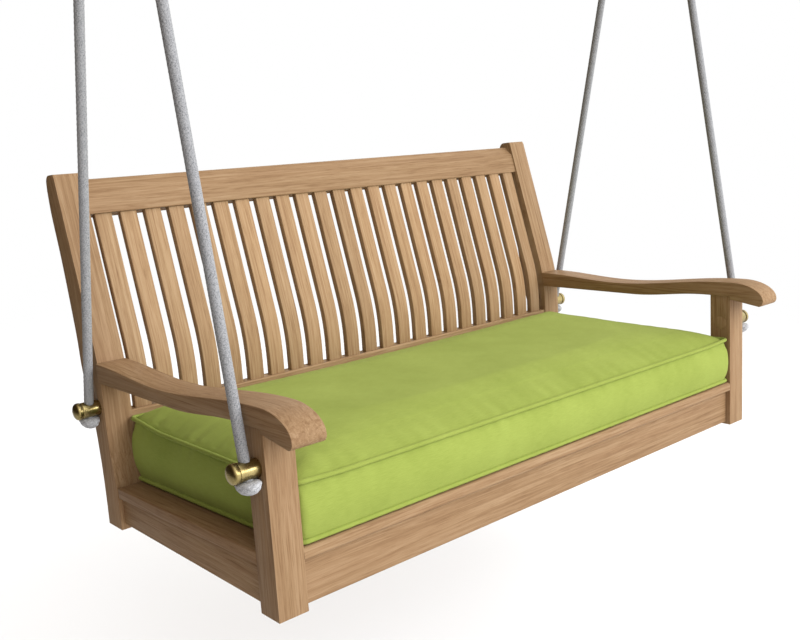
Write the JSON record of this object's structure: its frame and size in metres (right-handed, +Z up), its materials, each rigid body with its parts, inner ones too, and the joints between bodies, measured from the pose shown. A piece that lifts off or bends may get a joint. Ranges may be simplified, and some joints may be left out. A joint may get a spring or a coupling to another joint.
{
  "type": "porch swing",
  "caption": "Slatted teak porch swing bench with curved armrests and a box seat cushion, hung from screw hooks by taut ropes through brass side pins",
  "frame": {"origin": "in the ceiling plane, midway between the four hooks", "axes": "+Z up, the sitter faces -Y, +X to the right when looking at the seat from the front"},
  "size_m": [1.314, 0.7455, 1.198],
  "materials": {
    "teak": "oiled teak, fine straight grain",
    "brass": "turned brass, slightly dulled",
    "rope": "braided off-white rope with grey flecks",
    "cushion_fabric": "matt woven canvas, lime green",
    "hook_steel": "zinc plated steel"
  },
  "bodies": {
    "hooks": {"ceiling_hooks": "hook_steel"},
    "rear_ropes": {"rope_rear_left": "rope", "rope_rear_right": "rope", "rope_eyes_rear": "rope", "thimbles_rear": "brass", "rope_knots_rear": "rope", "rope_pins_rear": "brass", "pin_nuts_rear": "brass"},
    "bench": {"front_leg_left": "teak", "front_leg_right": "teak", "rear_leg_left": "teak", "rear_leg_right": "teak", "side_rail_left": "teak", "side_rail_right": "teak", "seat_end_board_left": "teak", "seat_end_board_right": "teak", "front_apron": "teak", "rear_apron": "teak", "front_seat_board": "teak", "seat_slats": "teak", "seat_cleats": "teak", "seat_bearers": "teak", "arm_left": "teak", "arm_right": "teak", "top_rail": "teak", "bottom_rail": "teak", "back_slat_1": "teak", "back_slat_2": "teak", "back_slat_3": "teak", "back_slat_4": "teak", "back_slat_5": "teak", "back_slat_6": "teak", "back_slat_7": "teak", "back_slat_8": "teak", "back_slat_9": "teak", "back_slat_10": "teak", "back_slat_11": "teak", "back_slat_12": "teak", "back_slat_13": "teak", "back_slat_14": "teak", "back_slat_15": "teak", "back_slat_16": "teak", "back_slat_17": "teak", "back_slat_18": "teak", "back_slat_19": "teak", "back_slat_20": "teak", "back_slat_21": "teak", "back_slat_22": "teak", "back_slat_23": "teak", "joint_pegs": "teak", "seat_screws": "brass", "pin_plugs": "teak"},
    "front_ropes": {"rope_front_left": "rope", "rope_front_right": "rope", "rope_eyes_front": "rope", "thimbles_front": "brass", "rope_knots_front": "rope", "rope_pins_front": "brass", "pin_nuts_front": "brass"},
    "cushion": {"cushion": "cushion_fabric"}
  },
  "joints": [
    {"name": "swing", "type": "hinge", "parent": "hooks", "child": "rear_ropes", "pos_m": [0, 0.092, -0.0578], "axis": [1, 0, 0], "range_deg": [-15, 15]},
    {"name": "bench_tilt", "type": "hinge", "parent": "rear_ropes", "child": "bench", "pos_m": [0, 0.211, -0.928], "axis": [1, 0, 0], "range_deg": [-7, 7]},
    {"name": "front_rope_swing", "type": "hinge", "parent": "bench", "child": "front_ropes", "pos_m": [0, -0.298, -0.877], "axis": [1, 0, 0], "range_deg": [-7, 7]},
    {"name": "cushion_lift", "type": "slide", "parent": "bench", "child": "cushion", "axis": [0, 0.0948, 0.9955], "range_m": [0, 0.25]}
  ],
  "couplings": [
    {"joint": "bench_tilt", "follows": "swing", "ratio": -0.3522},
    {"joint": "front_rope_swing", "follows": "swing", "ratio": 0.3738}
  ]
}
